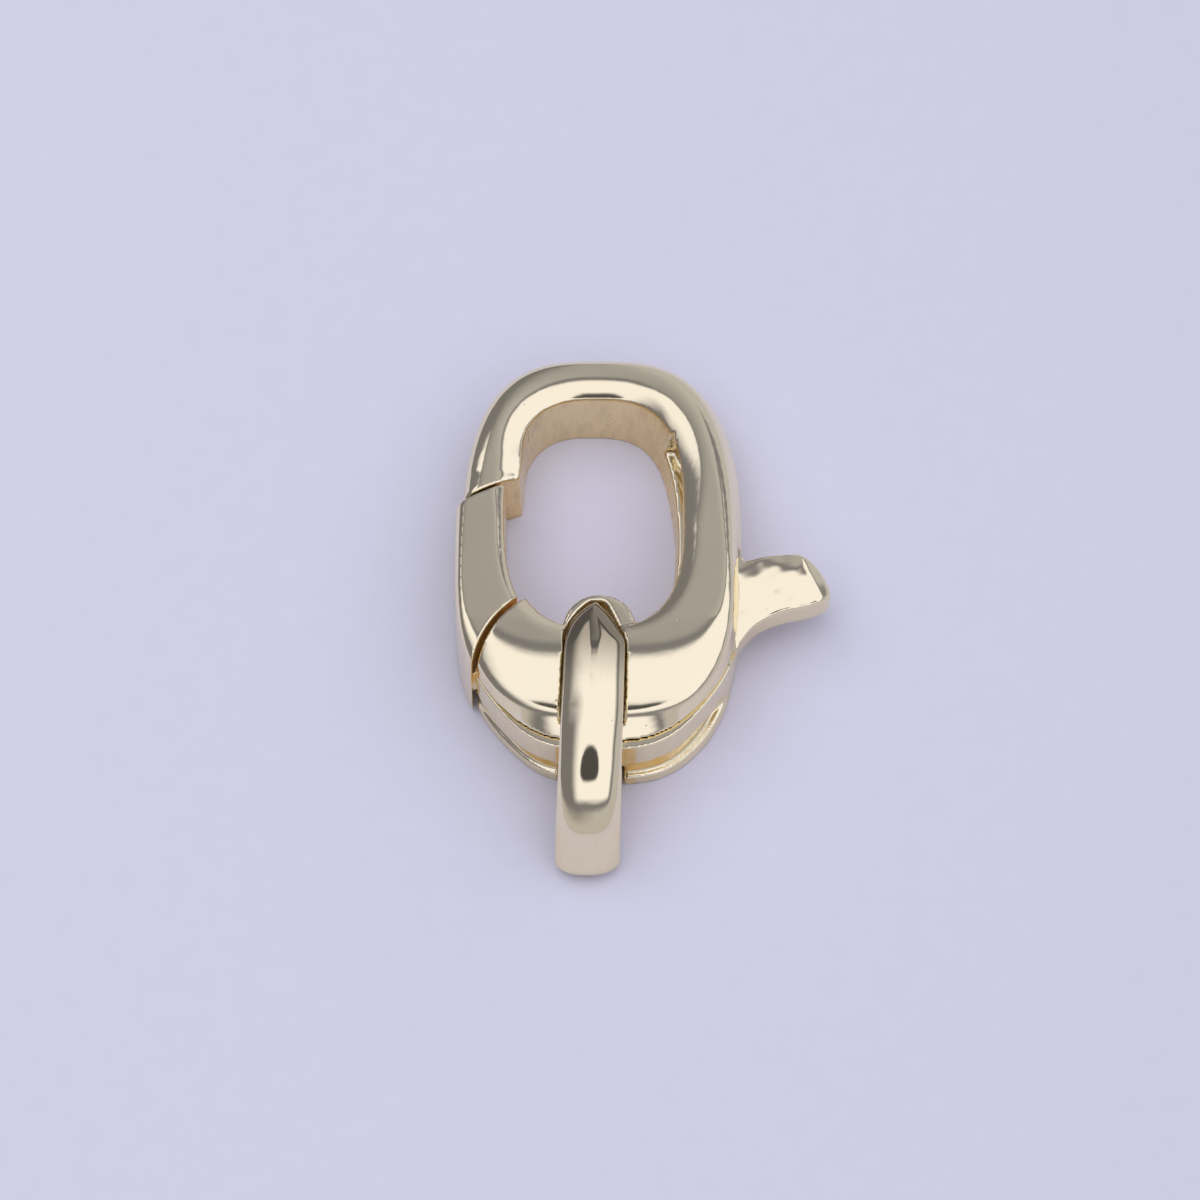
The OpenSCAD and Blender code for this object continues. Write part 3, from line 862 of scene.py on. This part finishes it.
def plate_marks(s):
    marks = {"here": s.node("ShaderNodeTexCoord", out="Object")}
    x, y, z = [part / MM for part in s.parts(marks["here"])]
    marks["at"] = (x, y - SHIFT_Y, z)
    flat = s.parts(s.node("ShaderNodeNewGeometry", out="Normal"))[2].math("ABSOLUTE")
    steep = 1.0 - s.smooth(flat, *STEEP)
    inside = 1.0 - s.smooth(fourth(x / INSIDE_HALF) + fourth(y / INSIDE_LONG), *INSIDE_EDGE)
    marks["steep"] = steep
    marks["wall"] = steep * (OUTER_WALL + (1 - OUTER_WALL) * inside)
    marks["edge"] = inside * s.smooth(flat, *EDGE_IN) * (1.0 - s.smooth(flat, *EDGE_OUT))
    crescent = (1.0 - s.smooth(z, *CRESCENT_Z)) * s.smooth(x, *CRESCENT_X)
    marks["crescent"] = crescent * (1.0 - s.smooth(y, *CRESCENT_Y)) * s.smooth(flat, *CRESCENT_FLAT)
    marks["grain"] = s.noise(marks["here"], *GRAIN)
    stretched = s.node("ShaderNodeVectorMath", {"operation": "MULTIPLY"}, _0=marks["here"], _1=STREAK_LONG)
    marks["streak"] = s.noise(stretched, *STREAK)
    pits = s.node("ShaderNodeTexVoronoi", Vector=marks["here"], Scale=PIT_SCALE, Randomness=1.0)
    marks["pit"] = 1.0 - s.smooth(pits, *PIT_EDGE)
    return marks


print("the plate's own colour is", GOLD[:3])

# %% [markdown]
# The marks are then mixed three times: into the roughness, into the height for the Bump node, and
# into the colour. A plate without gaps, as the bail's, leaves the gaps' painted bounce light out.
# The bail gets painted shade instead: its plate is painted darker from a given place on towards
# its narrow end.

# %% Pale gold plate
GRAIN_ROUGH, WALL_ROUGH, PIT_ROUGH, GAP_ROUGH = 0.05, 0.16, 0.15, 0.35
# Heights in millimetres.
LONG_HIGH, PEEL_HIGH, STREAK_HIGH, PIT_DEEP = 0.03, 0.004, 0.09, 0.004
GRAIN_HIGH, GRAIN_ON_WALL, GRAIN_ON_CRESCENT = 0.0002, 0.0035, 0.05
# The first value on the next line is how much painted bounce light deepens the walls.
WALL_PAINTED_BOUNCE, TONE_DEEP, WORN_STREAK, WORN_MOST = 0.7, 0.15, (0.42, 0.62), 0.36
GAP_LEAST, GAP_STREAK = 0.1, 1.3


def plate_height(s, marks, peel):
    long_wave = s.noise(marks["here"], *LONG_WAVE) * LONG_HIGH * peel
    peel_wave = s.noise(marks["here"], *PEEL) * PEEL_HIGH * peel
    roughest = GRAIN_HIGH + marks["wall"] * GRAIN_ON_WALL + marks["crescent"] * GRAIN_ON_CRESCENT
    height = long_wave + peel_wave + marks["grain"] * roughest
    return height + marks["streak"] * marks["wall"] * STREAK_HIGH - marks["pit"] * PIT_DEEP


def plate_colour(s, marks):
    # Painted bounce light: the walls, most inside the hook, are painted a deeper yellow; the noise adds a
    # random tone.
    deeper = marks["wall"] * WALL_PAINTED_BOUNCE + s.noise(marks["here"], *TONE) * TONE_DEEP
    colour = s.colour(deeper.clamp(), GOLD, GOLD_DEEP)
    wear_and_painted_shade = marks["wall"] * s.smooth(marks["streak"], *WORN_STREAK) * WORN_MOST
    return s.colour(wear_and_painted_shade, colour, GOLD_WORN)


def gold_plate(name, shine, peel, gaps=False, painted_shade_from=None):
    material = bpy.data.materials.new(name)
    material.use_nodes = True
    tree = material.node_tree
    tree.nodes.clear()
    s = Shader(tree)
    marks = plate_marks(s)
    rough = shine + marks["grain"] * GRAIN_ROUGH + marks["wall"] * WALL_ROUGH + marks["pit"] * PIT_ROUGH
    colour = plate_colour(s, marks)
    if gaps:
        # Painted bounce light: the gaps and the rounded edges of the inner walls get a painted deeper
        # yellow.
        painted_bounce_mask = (marks["steep"] * gaps_of_castings(s, *marks["at"]) + marks["edge"] * EDGE_PAINTED_BOUNCE).clamp()
        streaky = GAP_LEAST + marks["streak"] * GAP_STREAK
        colour = s.colour((painted_bounce_mask * streaky).clamp(), colour, GOLD_PAINTED_BOUNCE)
        rough = rough + painted_bounce_mask * GAP_ROUGH
    # Painted shade: the plate darkens towards the bail's narrow end.
    if painted_shade_from is not None:
        wear_and_painted_shade = s.smooth(marks["at"][1], painted_shade_from, painted_shade_from + PAINTED_SHADE_OVER) * PAINTED_SHADE_MOST
        colour = s.colour(wear_and_painted_shade, colour, GOLD_PAINTED_SHADE)
    surface = tree.nodes.new("ShaderNodeBsdfPrincipled")
    surface.inputs["Metallic"].default_value = 1.0
    put(tree, surface.inputs["Base Color"], colour)
    put(tree, surface.inputs["Roughness"], rough.clamp())
    bump = s.node("ShaderNodeBump", Strength=1.0, Distance=MM, Height=plate_height(s, marks, peel))
    put(tree, surface.inputs["Normal"], bump)
    output = tree.nodes.new("ShaderNodeOutputMaterial")
    tree.links.new(surface.outputs[0], output.inputs["Surface"])
    print(name, "has", len(tree.nodes), "nodes")
    return material


# %% [markdown]
# Each casting has the same plate with its own shine. The bail is polished brightest and shows
# the most orange peel. The rivet is hidden and plainer.


# %% Dress the pieces
def dress(piece, material):
    piece.data.materials.clear()
    piece.data.materials.append(material)


dress(body, gold_plate("body_gold_plate", shine=0.07, peel=1.0, gaps=True))
dress(lever, gold_plate("lever_gold_plate", shine=0.08, peel=1.0, gaps=True))
# The bail's painted shade starts at y = -0.5 mm from the pivot.
dress(bail, gold_plate("bail_gold_plate", shine=0.03, peel=1.6, painted_shade_from=-0.5))
pin_plate = gold_plate("pin_gold_plate", shine=0.16, peel=0.5)
for pin_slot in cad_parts["pivot_pin"].material_slots:
    pin_slot.material = pin_plate

# %% [markdown]
# The clasp lies on a pale lavender sheet. The sheet is large and plain, so that the lower walls
# of the castings mirror it.

# %% The sheet it lies on
SHEET_HALF, SHEET_Z = 0.6, -0.00001
PAPER, PAPER_LIGHT = (0.70, 0.69, 0.80, 1), (0.73, 0.72, 0.83, 1)
FIBRE_SCALE, FIBRE_DETAIL = 900.0, 3.0
bm = bmesh.new()
bmesh.ops.create_grid(bm, x_segments=2, y_segments=2, size=SHEET_HALF)
bmesh.ops.translate(bm, verts=bm.verts, vec=(0, 0, SHEET_Z))
sheet = new_object("pale_sheet", bm)
paper = bpy.data.materials.new("pale_lavender")
paper.use_nodes = True
paper_shader = Shader(paper.node_tree)
paper_at = paper_shader.node("ShaderNodeTexCoord", out="Object")
fibre = paper_shader.noise(paper_at, FIBRE_SCALE, FIBRE_DETAIL)
paper_colour = paper_shader.colour(fibre, PAPER, PAPER_LIGHT)
paper_surface = paper.node_tree.nodes["Principled BSDF"]
put(paper.node_tree, paper_surface.inputs["Base Color"], paper_colour)
paper_surface.inputs["Roughness"].default_value = 0.9
paper_surface.inputs["Specular IOR Level"].default_value = 0.1
sheet.data.materials.append(paper)
print("sheet is", 2 * SHEET_HALF, "m wide")

# %% [markdown]
# Polished metal shows its room more than its own colour, so the room is made with as much care.
# All of it is worked out from the direction alone, as two angles: ahead, towards the bail's end,
# and aside, to the right.

# %% Directions in the room
TILT = math.radians(27.0)
LEAST_HEIGHT = 0.02
world = bpy.data.worlds.new("studio")
bpy.context.scene.world = world
world.use_nodes = True
world.node_tree.nodes.clear()
w = Shader(world.node_tree)
way_x, way_y, way_z = w.parts(w.node("ShaderNodeTexCoord", out="Generated"))
upwards = way_z.math("MAXIMUM", LEAST_HEIGHT)
ahead = (way_y * -1.0).math("ARCTAN2", upwards)
aside = way_x.math("ARCTAN2", upwards)


def ramp(value, low, high, grown=0.0):
    return w.smooth(value, math.radians(low) + grown, math.radians(high) + grown)


print("the camera leans", round(math.degrees(TILT)), "degrees from straight above")

# %% [markdown]
# The room is a soft grey-lavender tent, darker on the left, with one large soft light overhead.
# The light is a window with four soft edges. It reaches further back at its two sides, and its
# left edge moves in towards the front. A dark frame lies round it, and the dark shape of a camera
# in its middle. Area lamps could give such a light too, but their outlines would be plain shapes.

# %% The light, its frame and the tent
TENT_LEFT = (0.2, 0.2, 0.235, 1)
TENT_RIGHT = (0.52, 0.525, 0.6, 1)
TENT_LOW = (0.52, 0.51, 0.56, 1)
FRAME_DARK = (0.2, 0.2, 0.25, 1)
LIGHT = (1.02, 1.02, 1.16, 1)
CAMERA_DARK = (0.03, 0.03, 0.035, 1)
# All in degrees: the edges of the light, and where it reaches back or narrows and by how much.
NEAR_EDGE, FAR_EDGE, LEFT_EDGE, RIGHT_EDGE = (52, 62), (-19, -12), (-62, -32), (52, 62)
REACH_RIGHT, REACH_RIGHT_BY = (6, 30), math.radians(30)
REACH_LEFT, REACH_LEFT_BY = (-22, -8), math.radians(28)
NARROW_LEFT, NARROW_LEFT_BY = (-25, -8), math.radians(16)
FRAME_DEG, CAMERA_OUT, CAMERA_IN, CAMERA_SHARE = 9, 14, 10, 0.95
TENT_SIDES, TENT_FLOOR = (-35, 26), (62, 84)
reach_right = ramp(aside, *REACH_RIGHT) * REACH_RIGHT_BY
reach_left = (1.0 - ramp(aside, *REACH_LEFT)) * REACH_LEFT_BY
reach_back = reach_right + reach_left
narrow_left = ramp(ahead, *NARROW_LEFT) * NARROW_LEFT_BY


def window(grow):
    grown = math.radians(grow)
    near_side = 1.0 - ramp(ahead, *NEAR_EDGE, grown)
    far_side = ramp(ahead + reach_back, *FAR_EDGE, -grown)
    left_side = ramp(aside - narrow_left, *LEFT_EDGE, -grown)
    right_side = 1.0 - ramp(aside, *RIGHT_EDGE, grown)
    return near_side * far_side * left_side * right_side


to_camera = (way_y * -math.sin(TILT)) + (way_z * math.cos(TILT))
dark = w.smooth(to_camera, math.cos(math.radians(CAMERA_OUT)), math.cos(math.radians(CAMERA_IN)))
tent = w.colour(ramp(aside, *TENT_SIDES), TENT_LEFT, TENT_RIGHT)
tent = w.colour(ramp(ahead, *TENT_FLOOR), tent, TENT_LOW)
glow = w.colour(window(FRAME_DEG), tent, FRAME_DARK)
glow = w.colour(window(0), glow, LIGHT)
glow = w.colour(dark * CAMERA_SHARE, glow, CAMERA_DARK)
background = world.node_tree.nodes.new("ShaderNodeBackground")
put(world.node_tree, background.inputs["Color"], glow)
world_out = world.node_tree.nodes.new("ShaderNodeOutputWorld")
world.node_tree.links.new(background.outputs[0], world_out.inputs["Surface"])
print("the room has", len(world.node_tree.nodes), "nodes")

# %% [markdown]
# One soft lamp above the clasp and a little to its left gives the sheet its faint shadows. It
# doesn't show in the metal, because the room already has its own light for that.

# %% The fill lamp
fill_data = bpy.data.lights.new("fill", "AREA")
fill_data.shape = "DISK"
fill_data.size = 0.3
fill_data.energy = 0.155
fill = bpy.data.objects.new("fill", fill_data)
fill.location = (-0.055, 0.0, 0.19)
fill.rotation_euler = (math.radians(-9), math.radians(-20), 0)
fill.visible_glossy = False
bpy.context.scene.collection.objects.link(fill)
bpy.context.scene.view_settings.view_transform = "Standard"
bpy.context.scene.view_settings.look = "None"
print("the fill lamp gives", round(fill_data.energy, 3), "W")

# %% [markdown]
# The camera looks from the clasp's bail end and well above it. A long lens keeps the clasp's two
# long sides parallel, as in the photograph. Its distance follows from the frame's width on the
# object, 1200 pixels at 24.17 pixels to a millimetre.

# %% The camera
FRAME_MM = 1200 / 24.17
LENS, SENSOR = 200.0, 36.0
AIM_X, AIM_Y, AIM_Z = 0.12, 5.2, 2.0
aim = Vector((AIM_X, AIM_Y + SHIFT_Y, AIM_Z)) * MM
back = Vector((0, -math.sin(TILT), math.cos(TILT)))
camera_data = bpy.data.cameras.new("camera")
camera_data.lens = LENS
camera_data.sensor_width = SENSOR
camera_data.clip_start = 0.01
camera = bpy.data.objects.new("camera", camera_data)
camera.location = aim + back * (FRAME_MM * LENS / SENSOR * MM)
camera.rotation_euler = (TILT, 0, 0)
bpy.context.scene.collection.objects.link(camera)
bpy.context.scene.camera = camera
print("the camera is", round(FRAME_MM * LENS / SENSOR), "mm away")
